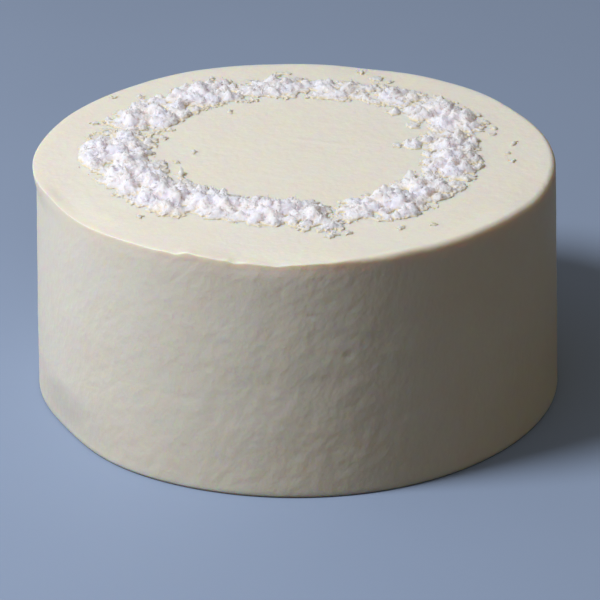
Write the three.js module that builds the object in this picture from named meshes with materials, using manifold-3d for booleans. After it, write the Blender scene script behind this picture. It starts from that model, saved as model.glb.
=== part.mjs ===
// A round chiffon cake under a smooth coat of ivory icing, with a ring of coconut flakes on its flat top.
// Millimetres, +Z up. The origin is the middle of the flat foot, and azimuths turn anticlockwise from +X.
// The cake is uncut, so cake and icing are one solid, and the flakes are fused to the icing they lie on.
import * as THREE from "three";
import { mergeVertices } from "three/addons/utils/BufferGeometryUtils.js";
import Module from "manifold-3d";

const wasm = await Module();
wasm.setup();

// The iced cake
const HEIGHT = 96; // foot to the flat of the top
const RIM_RADIUS = 101.6; // just under the top edge
const FOOT_RADIUS = 104.4; // the coat is a little thicker at the foot
const RIM_ROUND = 1.6; // radius of the top edge
const FOOT_ROUND = 1.8; // radius of the bottom edge
const LOBES = [
  // waves round the wall, their size, and the azimuth of a crest
  { waves: 2, size: 0.35, crest: 160 },
  { waves: 3, size: 0.3, crest: 20 },
  { waves: 5, size: 0.2, crest: 75 },
];
const RIM_WAVES = [
  // azimuth, half-width in degrees, and rise of the hand-smoothed top edge
  { azimuth: 72, half: 7, rise: -0.6 },
  { azimuth: 114, half: 13, rise: 0.8 },
  { azimuth: 216, half: 9, rise: -0.8 },
  { azimuth: 249, half: 5, rise: 0.5 },
  { azimuth: 265, half: 9, rise: -0.8 },
  { azimuth: 281, half: 8, rise: 0.6 },
  { azimuth: 296, half: 10, rise: 0.6 },
  { azimuth: 315, half: 13, rise: 0.8 },
  { azimuth: 336, half: 6, rise: -0.7 },
];
const LIP = { azimuth: 184, half: 13, flare: 1.5, depth: 9 }; // icing pushed out over the wall by the spatula
const EDGE_BAND = 16; // width of the top that rises and falls with its edge
const PARED_FOOT = { azimuth: 207, half: 13, depth: 2.6, height: 24 }; // a flat scraped along the foot

// The coconut ring: each clump's azimuth and distance from the ring's middle, its half-length along the ring,
// its half-width across it, and how deep the flakes lie there
const RING_MIDDLE = new THREE.Vector2(0, 4); // a little behind the middle of the top
const CLUMPS = [
  { azimuth: 6, radius: 62.5, along: 13, across: 10.5, depth: 3.5 },
  { azimuth: 32, radius: 71, along: 18, across: 11.5, depth: 4.0 },
  { azimuth: 56, radius: 70.5, along: 14, across: 10, depth: 2.9 },
  { azimuth: 77, radius: 68, along: 15, across: 10, depth: 2.7 },
  { azimuth: 98, radius: 68.5, along: 16, across: 11, depth: 3.0 },
  { azimuth: 122, radius: 72, along: 16, across: 12.5, depth: 3.6 },
  { azimuth: 147, radius: 71, along: 16, across: 13, depth: 4.0 },
  { azimuth: 178, radius: 70.5, along: 17, across: 13.5, depth: 4.2 },
  { azimuth: 200, radius: 66.5, along: 15, across: 13.5, depth: 4.2 },
  { azimuth: 220, radius: 64.5, along: 15, across: 14, depth: 4.2 },
  { azimuth: 240, radius: 60, along: 12, across: 11, depth: 4.0 },
  { azimuth: 262, radius: 60, along: 15, across: 11.5, depth: 4.0 },
  { azimuth: 277, radius: 63, along: 7, across: 13.5, depth: 3.4 },
  { azimuth: 291, radius: 61, along: 7, across: 10, depth: 2.6 },
  { azimuth: 306, radius: 63.5, along: 12, across: 12.5, depth: 4.0 },
  { azimuth: 323, radius: 62, along: 12, across: 12, depth: 4.0 },
  { azimuth: 348, radius: 62.5, along: 13, across: 11.5, depth: 4.2 },
];
const CLUMP_RUNOUT = 1.25; // how far a clump thins out along the ring, in half-lengths
const CORE_SHARE = 0.45; // of a clump's depth that is packed solid under the flakes that show
const FLAKE_SPACING = 6.1; // between the largest flakes
const STRAYS = 16; // single flakes that fell beside the ring
const STRAY_RADII = { inside: [42, 46], outside: [86, 90] };
const FLAKE = { length: [4, 6.8], width: [2.2, 3.4], thick: [0.8, 1.1], curl: [-0.3, 0.6], tilt: [-36, 36] };
const FLAKE_CORNERS = 4;
const FLAKE_RAGGED = 0.6; // how far a corner strays round the outline, as a share of the step to the next
const FLAKE_LIFT = 0.45; // height of a flake's middle above what it lies on, as a share of its thickness

// Facets of the solid
const SEGMENTS = 72;
const WALL_ROWS = 5;
const FOOT_ARC_STEPS = 2;
const RIM_ARC_STEPS = 3;
const RING_SPAN = [44, 90]; // the part of the top that the flakes lie on
const RING_ROWS = 9;

const icingFinish = new THREE.MeshStandardMaterial({ color: 0xe9e2d0, roughness: 0.55, metalness: 0 });

const radians = THREE.MathUtils.degToRad;
const smooth = THREE.MathUtils.smoothstep;
const bell = (distance, half) => Math.exp(-Math.LN2 * (distance / half) ** 2); // falls to a half at half
const dome = (distance, half) => Math.max(0, 1 - (distance / half) ** 2); // falls to nothing at half

// An even draw from 0 to 1 that is the same for the same index and purpose.
function draw(index, purpose) {
  const wave = Math.sin(index * 12.9898 + purpose * 78.233) * 43758.5453;
  return wave - Math.floor(wave);
}

function drawBetween([low, high], index, purpose) {
  return low + (high - low) * draw(index, purpose);
}

// The turn from one azimuth to another, from -180 to 180 degrees.
function turn(from, to) {
  return THREE.MathUtils.euclideanModulo(to - from + 180, 360) - 180;
}

function wallSway(azimuth) {
  return LOBES.reduce((sum, l) => sum + l.size * Math.cos(radians(l.waves * (azimuth - l.crest))), 0);
}

function rimRise(azimuth) {
  return RIM_WAVES.reduce((sum, w) => sum + w.rise * bell(turn(w.azimuth, azimuth), w.half), 0);
}

// The point of the top at an azimuth in radians and a distance, both from the ring's middle.
function ringPoint(azimuth, radius) {
  return new THREE.Vector2(Math.cos(azimuth), Math.sin(azimuth)).multiplyScalar(radius).add(RING_MIDDLE);
}

// How deep the coconut lies at a point of the top.
function heapDepth(x, y) {
  const fromMiddle = new THREE.Vector2(x, y).sub(RING_MIDDLE);
  const azimuth = THREE.MathUtils.radToDeg(fromMiddle.angle());
  const radius = fromMiddle.length();
  const depths = CLUMPS.map((c) => {
    const arc = radians(turn(c.azimuth, azimuth)) * c.radius;
    return c.depth * dome(arc, c.along * CLUMP_RUNOUT) * dome(radius - c.radius, c.across);
  });
  return Math.max(...depths);
}

// The top's height where no flakes lie: it follows the uneven edge and is flat towards the middle.
function topHeight(x, y) {
  const nearEdge = smooth(Math.hypot(x, y), RIM_RADIUS - EDGE_BAND, RIM_RADIUS);
  return HEIGHT + rimRise(THREE.MathUtils.radToDeg(Math.atan2(y, x))) * nearEdge;
}

// The outline from the middle of the foot, up the wall and back to the middle of the top.
function cakeProfile() {
  const points = [new THREE.Vector2(0, 0)];
  const arc = (radius, height, round, from, steps) => {
    for (let i = 0; i <= steps; i++) {
      const angle = from + (Math.PI / 2) * (i / steps);
      points.push(new THREE.Vector2(radius + round * Math.cos(angle), height + round * Math.sin(angle)));
    }
  };
  arc(FOOT_RADIUS - FOOT_ROUND, FOOT_ROUND, FOOT_ROUND, -Math.PI / 2, FOOT_ARC_STEPS);
  for (let i = 1; i < WALL_ROWS; i++) {
    const share = i / WALL_ROWS;
    const height = THREE.MathUtils.lerp(FOOT_ROUND, HEIGHT - RIM_ROUND, share);
    points.push(new THREE.Vector2(THREE.MathUtils.lerp(FOOT_RADIUS, RIM_RADIUS, share), height));
  }
  arc(RIM_RADIUS - RIM_ROUND, HEIGHT - RIM_ROUND, RIM_ROUND, 0, RIM_ARC_STEPS);
  const [inner, outer] = RING_SPAN;
  for (let i = 0; i <= RING_ROWS; i++) {
    points.push(new THREE.Vector2(THREE.MathUtils.lerp(outer, inner, i / RING_ROWS), HEIGHT));
  }
  points.push(new THREE.Vector2(inner / 2, HEIGHT), new THREE.Vector2(0, HEIGHT));
  return points;
}

// Moves each point of the round cake to where the spatula left the icing and the coconut raises it.
function shapeIcing(geometry) {
  const position = geometry.attributes.position;
  for (let i = 0; i < position.count; i++) {
    const [x, y, z] = [position.getX(i), position.getY(i), position.getZ(i)];
    const radius = Math.hypot(x, y);
    const azimuth = THREE.MathUtils.radToDeg(Math.atan2(y, x));
    const nearWall = smooth(radius, RIM_RADIUS - EDGE_BAND, RIM_RADIUS - RIM_ROUND);
    const nearTop = smooth(z, HEIGHT - LIP.depth, HEIGHT);
    const flare = LIP.flare * bell(turn(LIP.azimuth, azimuth), LIP.half) * nearTop;
    const nearFoot = 1 - smooth(z, 0, PARED_FOOT.height);
    const pared = PARED_FOOT.depth * bell(turn(PARED_FOOT.azimuth, azimuth), PARED_FOOT.half) * nearFoot;
    const out = radius > 0 ? 1 + ((wallSway(azimuth) + flare - pared) * nearWall) / radius : 1;
    const lift = (topHeight(x, y) - HEIGHT + CORE_SHARE * heapDepth(x, y)) * nearTop;
    position.setXYZ(i, x * out, y * out, z + lift);
  }
}

// A closed three.js geometry as a solid that can be joined to others.
function solidOf(geometry) {
  geometry.deleteAttribute("normal");
  geometry.deleteAttribute("uv");
  const merged = mergeVertices(geometry);
  const corners = Array.from(merged.index.array);
  const triangles = [];
  for (let i = 0; i < corners.length; i += 3) {
    const [a, b, c] = corners.slice(i, i + 3);
    if (a !== b && b !== c && a !== c) triangles.push(a, b, c);
  }
  return new wasm.Manifold(
    new wasm.Mesh({
      numProp: 3,
      vertProperties: merged.attributes.position.array,
      triVerts: new Uint32Array(triangles),
    }),
  );
}

function geometryOf(solid) {
  const { vertProperties, triVerts } = solid.getMesh();
  const geometry = new THREE.BufferGeometry();
  geometry.setAttribute("position", new THREE.BufferAttribute(vertProperties, 3));
  geometry.setIndex(new THREE.BufferAttribute(triVerts, 1));
  geometry.computeVertexNormals();
  return geometry;
}

function icedCake() {
  const round = new THREE.LatheGeometry(cakeProfile(), SEGMENTS).rotateX(Math.PI / 2);
  round.deleteAttribute("normal");
  round.deleteAttribute("uv");
  const joined = mergeVertices(round);
  shapeIcing(joined);
  return solidOf(joined);
}

// One ragged, curled flake with its middle on the icing or on the packed core at a point of the top.
function flake({ x, y }, index) {
  const length = drawBetween(FLAKE.length, index, 1);
  const width = drawBetween(FLAKE.width, index, 2);
  const thick = drawBetween(FLAKE.thick, index, 3);
  const outline = Array.from({ length: FLAKE_CORNERS }, (_, corner) => {
    const angle = (2 * Math.PI * (corner + FLAKE_RAGGED * draw(index, 10 + corner))) / FLAKE_CORNERS;
    return new THREE.Vector2((length / 2) * Math.cos(angle), (width / 2) * Math.sin(angle));
  });
  const geometry = new THREE.ExtrudeGeometry(new THREE.Shape(outline), { depth: thick, bevelEnabled: false });
  const position = geometry.attributes.position;
  const curl = drawBetween(FLAKE.curl, index, 4);
  for (let i = 0; i < position.count; i++) {
    const along = position.getX(i) / (length / 2);
    position.setZ(i, position.getZ(i) - thick / 2 + curl * along ** 2);
  }
  const tilt = (purpose) => radians(drawBetween(FLAKE.tilt, index, purpose));
  const lie = new THREE.Euler(tilt(5), tilt(6), 2 * Math.PI * draw(index, 7), "ZYX");
  const height = topHeight(x, y) + CORE_SHARE * heapDepth(x, y) + FLAKE_LIFT * thick;
  geometry.applyMatrix4(new THREE.Matrix4().makeRotationFromEuler(lie).setPosition(x, y, height));
  return solidOf(geometry);
}

// Flakes spread evenly over each clump, from its middle out.
function clumpFlakes() {
  const goldenAngle = Math.PI * (3 - Math.sqrt(5));
  const flakes = [];
  for (const clump of CLUMPS) {
    const count = Math.round((Math.PI * clump.along * clump.across) / FLAKE_SPACING ** 2);
    for (let k = 0; k < count; k++) {
      const reach = Math.sqrt((k + 0.5) / count);
      const along = clump.along * reach * Math.cos(k * goldenAngle);
      const radius = clump.radius + clump.across * reach * Math.sin(k * goldenAngle);
      const azimuth = radians(clump.azimuth) + along / clump.radius;
      flakes.push(flake(ringPoint(azimuth, radius), flakes.length));
    }
  }
  return flakes;
}

// Single flakes on the bare icing, two outside the ring for each one inside it.
function strayFlakes(firstIndex) {
  const { inside, outside } = STRAY_RADII;
  return Array.from({ length: STRAYS }, (_, k) => {
    const index = firstIndex + k;
    const azimuth = ((k + draw(index, 8)) / STRAYS) * 2 * Math.PI;
    const radius = drawBetween(k % 3 ? outside : inside, index, 9);
    return flake(ringPoint(azimuth, radius), index);
  });
}

// The flakes joined to the cake, without the pockets that they close off and any scrap that touches nothing.
function fused(cake, flakes) {
  const joined = flakes.reduce((solid, piece) => solid.add(piece), cake);
  return joined.decompose().reduce((largest, body) => (body.volume() > largest.volume() ? body : largest));
}

const inRing = clumpFlakes();
const cakeSolid = fused(icedCake(), [...inRing, ...strayFlakes(inRing.length)]);

const cake = new THREE.Mesh(geometryOf(cakeSolid), icingFinish);
cake.name = "iced_cake";

const part = new THREE.Group();
part.add(cake);

export default part;
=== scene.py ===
"""A whole iced chiffon cake with a ring of coconut flakes on its top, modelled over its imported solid.

Metres, +Z up. The origin is the middle of the foot, and azimuths turn anticlockwise from +X, in degrees.
"""

import math
from typing import NamedTuple

import bmesh
import bpy
import numpy as np
from bpy.props import FloatProperty, FloatVectorProperty, IntProperty, PointerProperty
from mathutils import Matrix, Vector, noise
from mathutils.bvhtree import BVHTree


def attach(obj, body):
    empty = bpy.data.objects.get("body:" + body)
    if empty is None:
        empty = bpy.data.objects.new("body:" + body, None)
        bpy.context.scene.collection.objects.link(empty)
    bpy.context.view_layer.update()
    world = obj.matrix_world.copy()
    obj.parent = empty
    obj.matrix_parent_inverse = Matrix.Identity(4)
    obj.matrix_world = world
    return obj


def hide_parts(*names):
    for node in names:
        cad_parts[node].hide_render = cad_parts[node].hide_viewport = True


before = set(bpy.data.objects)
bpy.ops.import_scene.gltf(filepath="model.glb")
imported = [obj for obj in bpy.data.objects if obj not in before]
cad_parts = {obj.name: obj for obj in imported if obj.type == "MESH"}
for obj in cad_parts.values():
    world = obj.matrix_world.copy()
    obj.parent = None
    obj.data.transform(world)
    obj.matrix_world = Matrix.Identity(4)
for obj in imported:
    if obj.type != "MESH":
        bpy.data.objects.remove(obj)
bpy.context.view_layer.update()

bl_info = {
    "name": "Iced Cake",
    "version": (1, 0, 0),
    "blender": (4, 5, 0),
    "location": "3D View > Sidebar > Cake",
    "description": "Models an iced cake with a ring of coconut flakes over its packed solid",
    "category": "Add Mesh",
}

MM = 0.001
CAKE_NODE = "iced_cake"
BODY = "root"


# Forms shared with the solid


class Lobe(NamedTuple):
    """A wave round the wall: how many there are, their size, and the azimuth of a crest."""

    waves: int
    size: float
    crest: float


class RimWave(NamedTuple):
    """A rise or dip of the hand-smoothed top edge."""

    azimuth: float
    half: float
    rise: float


class Clump(NamedTuple):
    """A heap of flakes: where its middle lies, its half-length and half-width, and its depth."""

    azimuth: float
    radius: float
    along: float
    across: float
    depth: float


LOBES = (
    Lobe(2, 0.35 * MM, 160),
    Lobe(3, 0.30 * MM, 20),
    Lobe(5, 0.20 * MM, 75),
)
RIM_WAVES = (
    RimWave(72, 7, -0.6 * MM),
    RimWave(114, 13, 0.8 * MM),
    RimWave(216, 9, -0.8 * MM),
    RimWave(249, 5, 0.5 * MM),
    RimWave(265, 9, -0.8 * MM),
    RimWave(281, 8, 0.6 * MM),
    RimWave(296, 10, 0.6 * MM),
    RimWave(315, 13, 0.8 * MM),
    RimWave(336, 6, -0.7 * MM),
)
LIP_AZIMUTH, LIP_HALF, LIP_FLARE, LIP_DEPTH = 184, 13, 1.5 * MM, 9 * MM
PARED_AZIMUTH, PARED_HALF, PARED_DEPTH, PARED_HEIGHT = 207, 13, 2.6 * MM, 24 * MM
EDGE_BAND = 16 * MM  # width of the top that rises and falls with its edge
RING_MIDDLE = np.array((0, 4 * MM))  # the ring lies a little behind the middle of the top
CLUMPS = (
    Clump(6, 62.5 * MM, 13 * MM, 10.5 * MM, 3.5 * MM),
    Clump(32, 71 * MM, 18 * MM, 11.5 * MM, 4.0 * MM),
    Clump(56, 70.5 * MM, 14 * MM, 10 * MM, 2.9 * MM),
    Clump(77, 68 * MM, 15 * MM, 10 * MM, 2.7 * MM),
    Clump(98, 68.5 * MM, 16 * MM, 11 * MM, 3.0 * MM),
    Clump(122, 72 * MM, 16 * MM, 12.5 * MM, 3.6 * MM),
    Clump(147, 71 * MM, 16 * MM, 13 * MM, 4.0 * MM),
    Clump(178, 70.5 * MM, 17 * MM, 13.5 * MM, 4.2 * MM),
    Clump(200, 66.5 * MM, 15 * MM, 13.5 * MM, 4.2 * MM),
    Clump(220, 64.5 * MM, 15 * MM, 14 * MM, 4.2 * MM),
    Clump(240, 60 * MM, 12 * MM, 11 * MM, 4.0 * MM),
    Clump(262, 60 * MM, 15 * MM, 11.5 * MM, 4.0 * MM),
    Clump(277, 63 * MM, 7 * MM, 13.5 * MM, 3.4 * MM),
    Clump(291, 61 * MM, 7 * MM, 10 * MM, 2.6 * MM),
    Clump(306, 63.5 * MM, 12 * MM, 12.5 * MM, 4.0 * MM),
    Clump(323, 62 * MM, 12 * MM, 12 * MM, 4.0 * MM),
    Clump(348, 62.5 * MM, 13 * MM, 11.5 * MM, 4.2 * MM),
)
DEEPEST = max(clump.depth for clump in CLUMPS)
CLUMP_RUNOUT = 1.25  # how far a clump thins out along the ring, in half-lengths


def turn(start, azimuth):
    """The turn from one azimuth to another, from -180 to 180 degrees."""
    return (azimuth - start + 180) % 360 - 180


def bell(distance, half):
    """Falls from 1 to a half at half."""
    return np.exp(-math.log(2) * (distance / half) ** 2)


def dome(distance, half):
    """Falls from 1 to nothing at half."""
    return np.maximum(0, 1 - (distance / half) ** 2)


def ramp(value, low, high):
    """Rises smoothly from 0 at low to 1 at high."""
    share = np.clip((value - low) / (high - low), 0, 1)
    return share * share * (3 - 2 * share)


def wall_sway(azimuth):
    """How far the wall stands out."""
    return sum(lobe.size * np.cos(np.radians(lobe.waves * (azimuth - lobe.crest))) for lobe in LOBES)


def rim_rise(azimuth):
    """How far the top edge rises."""
    return sum(wave.rise * bell(turn(wave.azimuth, azimuth), wave.half) for wave in RIM_WAVES)


# Settings


class IcingSettings(bpy.types.PropertyGroup):
    """Sizes and finish of the icing."""

    height: FloatProperty(
        name="Height", description="From the foot to the flat of the top", default=96 * MM, unit="LENGTH"
    )
    rim_radius: FloatProperty(
        name="Rim Radius", description="Just under the top edge", default=101.6 * MM, unit="LENGTH"
    )
    foot_radius: FloatProperty(
        name="Foot Radius", description="Where the wall meets the foot", default=104.4 * MM, unit="LENGTH"
    )
    rim_round: FloatProperty(
        name="Rim Round",
        description="Radius of the top edge where it is soft",
        default=2.6 * MM,
        unit="LENGTH",
    )
    foot_round: FloatProperty(
        name="Foot Round", description="Radius of the bottom edge", default=1.2 * MM, unit="LENGTH"
    )
    sides: IntProperty(name="Sides", description="Faces round the wall, a multiple of 4", default=600)
    rows: IntProperty(name="Rows", description="Rows of faces up the wall", default=90)
    wave_height: FloatProperty(
        name="Wave Height", description="Broad unevenness of the wall", default=0.16 * MM, unit="LENGTH"
    )
    grain_height: FloatProperty(
        name="Grain Height", description="Fine spatula grain of the wall", default=0.1 * MM, unit="LENGTH"
    )
    bead_height: FloatProperty(
        name="Bead Height", description="Ridge of icing along the top edge", default=0.35 * MM, unit="LENGTH"
    )
    colour: FloatVectorProperty(
        name="Colour", description="Main colour of the icing", default=(0.865, 0.825, 0.735), subtype="COLOR"
    )
    # the icing's own colour where its coat is thicker, changing at random over it; no shade is painted in it
    deep_and_shade_colour: FloatVectorProperty(
        name="Deep Colour",
        description="Where the coat is thicker",
        default=(0.85, 0.79, 0.68),
        subtype="COLOR",
    )


class CoconutSettings(bpy.types.PropertyGroup):
    """How much coconut there is, and its finish, with a warm shade painted next to the icing and in its
    hollows.
    """

    flakes: IntProperty(name="Flakes", description="Flakes pressed into the heap", default=21000)
    chips: IntProperty(name="Chips", description="Broad thin flakes on top", default=200)
    shreds: IntProperty(name="Shreds", description="Narrow strips on top", default=200)
    tufts: IntProperty(name="Tufts", description="Mounds that the ring is heaped in", default=420)
    seed: IntProperty(name="Seed", description="Changes how the bits fall", default=7)
    colour: FloatVectorProperty(
        name="Colour",
        description="Of the flakes that stand up",
        default=(0.805, 0.795, 0.955),
        subtype="COLOR",
    )
    warm_colour: FloatVectorProperty(
        name="Warm Colour",
        description="Of the patches that look less blue",
        default=(0.905, 0.83, 0.805),
        subtype="COLOR",
    )
    # painted shade: a warm deep colour laid on the heap next to the icing and in its hollows, standing in for
    # shade and for the warm light that the icing gives back; on loose bits it is mixed in at random
    deep_and_shade_colour: FloatVectorProperty(
        name="Deep Colour", description="Next to the icing", default=(0.81, 0.68, 0.4), subtype="COLOR"
    )


class StageSettings(bpy.types.PropertyGroup):
    """The floor, the lights and the camera."""

    floor_colour: FloatVectorProperty(
        name="Floor", description="Colour of the floor", default=(0.265, 0.335, 0.475), subtype="COLOR"
    )
    bounce_colour: FloatVectorProperty(
        name="Bounce",
        description="What the floor gives back on the bright side",
        default=(0.15, 0.178, 0.228),
        subtype="COLOR",
    )
    dim_bounce: FloatVectorProperty(
        name="Dim Bounce",
        description="What it gives back round the cake and behind it",
        default=(0.02, 0.016, 0.01),
        subtype="COLOR",
    )
    bounce_from: FloatProperty(
        name="Bounce From",
        description="Distance towards the key where the floor gets bright",
        default=0.15,
        unit="LENGTH",
    )
    bounce_to: FloatProperty(
        name="Bounce To", description="Distance where it is fully bright", default=0.32, unit="LENGTH"
    )
    sky_colour: FloatVectorProperty(
        name="Sky",
        description="Soft light from the bright side",
        default=(0.248, 0.25, 0.262),
        subtype="COLOR",
    )
    dusk_colour: FloatVectorProperty(
        name="Dusk",
        description="Soft light from between the two sides",
        default=(0.162, 0.141, 0.094),
        subtype="COLOR",
    )
    shade_colour: FloatVectorProperty(
        name="Shade",
        description="Soft light from the dark side",
        default=(0.073, 0.059, 0.040),
        subtype="COLOR",
    )
    sky_lean: FloatProperty(
        name="Sky Lean",
        description="How high the bright side stands",
        default=math.radians(40),
        subtype="ANGLE",
    )
    key_power: FloatProperty(name="Key Power", description="Of the main light, in watts", default=29.3)
    key_colour: FloatVectorProperty(
        name="Key Colour", description="Of the main light", default=(0.98, 1.0, 1.03), subtype="COLOR"
    )
    key_size: FloatProperty(name="Key Size", description="Its width", default=0.55, unit="LENGTH")
    key_distance: FloatProperty(
        name="Key Distance", description="From the middle of the cake", default=1.8, unit="LENGTH"
    )
    key_azimuth: FloatProperty(
        name="Key Azimuth", description="Where it stands", default=math.radians(200), subtype="ANGLE"
    )
    key_elevation: FloatProperty(
        name="Key Elevation", description="How high it stands", default=math.radians(50), subtype="ANGLE"
    )
    camera_distance: FloatProperty(
        name="Camera Distance", description="From the middle of the cake", default=1.395, unit="LENGTH"
    )
    camera_elevation: FloatProperty(
        name="Camera Elevation", description="Above the cake's middle", default=0.4276, subtype="ANGLE"
    )
    camera_roll: FloatProperty(
        name="Camera Roll", description="Turn about the line of sight", default=-0.009, subtype="ANGLE"
    )
    camera_aim: FloatVectorProperty(
        name="Camera Aim",
        description="Point in the middle of the image",
        default=(1.4 * MM, 0, 34 * MM),
        subtype="TRANSLATION",
    )
    lens: FloatProperty(name="Lens", description="Focal length in millimetres", default=210.0)


# Modelling helpers


def begin_piece():
    """Leaves nothing selected, so that the next operators touch only the new piece."""
    bpy.ops.object.select_all(action="DESELECT")


def select_edges(piece, wanted):
    """Selects the edges whose two ends satisfy wanted, in edge mode."""
    bpy.ops.mesh.select_mode(type="EDGE")
    bpy.ops.mesh.select_all(action="DESELECT")
    mesh = bmesh.from_edit_mesh(piece.data)
    for edge in mesh.edges:
        edge.select_set(wanted(edge.verts[0].co, edge.verts[1].co))
    bmesh.update_edit_mesh(piece.data)


def select_faces(piece, wanted):
    """Selects the faces that satisfy wanted, in face mode."""
    bpy.ops.mesh.select_mode(type="FACE")
    bpy.ops.mesh.select_all(action="DESELECT")
    mesh = bmesh.from_edit_mesh(piece.data)
    for face in mesh.faces:
        face.select_set(wanted(face))
    bmesh.update_edit_mesh(piece.data)


def read_points(mesh):
    """The points of a mesh, one row each."""
    points = np.empty(len(mesh.vertices) * 3)
    mesh.vertices.foreach_get("co", points)
    return points.reshape(-1, 3)


def write_points(mesh, points):
    """Moves the points of a mesh, one row each."""
    mesh.vertices.foreach_set("co", np.ascontiguousarray(points, dtype=float).ravel())
    mesh.update()


def perlin(points, wavelength):
    """Soft noise from about -1 to 1 with bumps of that size."""
    return np.fromiter((noise.noise(p) for p in (points / wavelength).tolist()), float, len(points))


# Shader helpers

MOTTLE_FINENESS = 7  # how many times finer the mottle is than the drift under it
DRIFT_LOW, DRIFT_HIGH = 0.3, 0.7  # noise values that become 0 and 1


def new_material(name):
    """An empty node material, its Principled shader and its node tree."""
    material = bpy.data.materials.new(name)
    material.use_nodes = True
    tree = material.node_tree
    return material, tree, tree.nodes["Principled BSDF"]


def add_node(tree, kind, **values):
    """A node with its own properties set by name, and its inputs by their labels."""
    node = tree.nodes.new(kind)
    for key, value in values.items():
        if hasattr(node, key):
            setattr(node, key, value)
        else:
            node.inputs[key.replace("_", " ").title()].default_value = value
    return node


def drift_group():
    """A mask that drifts softly over a surface, from 0 to 1, with a finer mottle on it."""
    group = bpy.data.node_groups.get("Soft Drift")
    if group:
        return group
    group = bpy.data.node_groups.new("Soft Drift", "ShaderNodeTree")
    group.interface.new_socket("Patch Size", in_out="INPUT", socket_type="NodeSocketFloat")
    group.interface.new_socket("Mottle", in_out="INPUT", socket_type="NodeSocketFloat")
    group.interface.new_socket("Mask", in_out="OUTPUT", socket_type="NodeSocketFloat")
    enter = group.nodes.new("NodeGroupInput")
    leave = group.nodes.new("NodeGroupOutput")
    place = group.nodes.new("ShaderNodeTexCoord")
    scale = add_node(group, "ShaderNodeMath", operation="DIVIDE")
    scale.inputs[0].default_value = 1
    broad = add_node(group, "ShaderNodeTexNoise", detail=2.0, roughness=0.5)
    fine_scale = add_node(group, "ShaderNodeMath", operation="MULTIPLY")
    fine_scale.inputs[1].default_value = MOTTLE_FINENESS
    fine = add_node(group, "ShaderNodeTexNoise", detail=3.0, roughness=0.6)
    centred = add_node(group, "ShaderNodeMath", operation="SUBTRACT")
    centred.inputs[1].default_value = 0.5
    mottled = add_node(group, "ShaderNodeMath", operation="MULTIPLY_ADD")
    spread = add_node(group, "ShaderNodeMapRange")
    spread.inputs["From Min"].default_value = DRIFT_LOW
    spread.inputs["From Max"].default_value = DRIFT_HIGH
    link = group.links.new
    link(enter.outputs["Patch Size"], scale.inputs[1])
    link(scale.outputs[0], broad.inputs["Scale"])
    link(scale.outputs[0], fine_scale.inputs[0])
    link(fine_scale.outputs[0], fine.inputs["Scale"])
    link(place.outputs["Object"], broad.inputs["Vector"])
    link(place.outputs["Object"], fine.inputs["Vector"])
    link(fine.outputs["Fac"], centred.inputs[0])
    link(centred.outputs[0], mottled.inputs[0])
    link(enter.outputs["Mottle"], mottled.inputs[1])
    link(broad.outputs["Fac"], mottled.inputs[2])
    link(mottled.outputs[0], spread.inputs["Value"])
    link(spread.outputs["Result"], leave.inputs["Mask"])
    return group


def add_drift(tree, patch_size, mottle):
    """The mask output of a Soft Drift group."""
    node = tree.nodes.new("ShaderNodeGroup")
    node.node_tree = drift_group()
    node.inputs["Patch Size"].default_value = patch_size
    node.inputs["Mottle"].default_value = mottle
    return node.outputs["Mask"]


def blend_colours(tree, mask, first, second):
    """The colour output of a mix from first to second by mask."""
    mix = tree.nodes.new("ShaderNodeMix")
    mix.data_type = "RGBA"
    mix.inputs["A"].default_value = (*first, 1)
    mix.inputs["B"].default_value = (*second, 1)
    tree.links.new(mask, mix.inputs["Factor"])
    return mix.outputs["Result"]


def vary(tree, mask, socket, low, high):
    """Drives a shader input from low to high by mask."""
    span = tree.nodes.new("ShaderNodeMapRange")
    span.inputs["To Min"].default_value = low
    span.inputs["To Max"].default_value = high
    tree.links.new(mask, span.inputs["Value"])
    tree.links.new(span.outputs["Result"], socket)


# Icing

RIM_STEPS, FOOT_STEPS = 10, 4  # faces across the round of each edge
TOP_RINGS, TOP_RING_WIDTH = 8, 0.9 * MM  # rows of faces along the edge of the top
ROW_CROWDING = 1.3  # above 1 the wall's rows stand closer near the top edge
SOFT_AZIMUTH, SOFT_FROM, SOFT_TO = 338, 46, 64  # the side where the top edge is round, and where that ends
CRISPNESS = 0.15  # power that draws the round out to a corner on the other sides
SHARP_AZIMUTH, SHARP_HALF = 198, 16  # the stretch where that corner is sharpest
SHARPNESS = 0.02  # power that draws it out there
SWIPES_FROM, SWIPES_TO = 232, 281  # azimuths between which the knife marked the wall under the top edge
SWIPES_FADE = 10  # degrees in which those marks come in
SWIPE_DEPTH, SWIPE_DROP = 0.1 * MM, 12 * MM
SWIPE_WIDTH, SWIPE_LENGTH, SWIPE_CLIMB = 2.2 * MM, 10 * MM, math.radians(35)
RECESS_DEPTH, RECESS_DROP = 0.1 * MM, 6 * MM
EDGE_STRIP, STRIP_END = 0.6 * MM, 2.5 * MM  # drops between which the marks under the edge come in
WALL_DEEP, WALL_SHALLOW = 4 * MM, 0.5 * MM  # how far inside the edge they fade out
LEAN_AZIMUTH, LEAN_HALF, LEAN_DEPTH, LEAN_DROP = 262, 6, 0.3 * MM, 7 * MM
BEAD_AZIMUTH, BEAD_HALF, BEAD_LEAST = 259, 8, 0.1  # where the bead is whole, and its share elsewhere
BEAD_INSET, BEAD_WIDTH = 1.0 * MM, 0.7 * MM
BEAD_MEAN, BEAD_SWING, BEAD_GRAIN = 0.5, 1.2, 4 * MM  # of its ragged height
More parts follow.
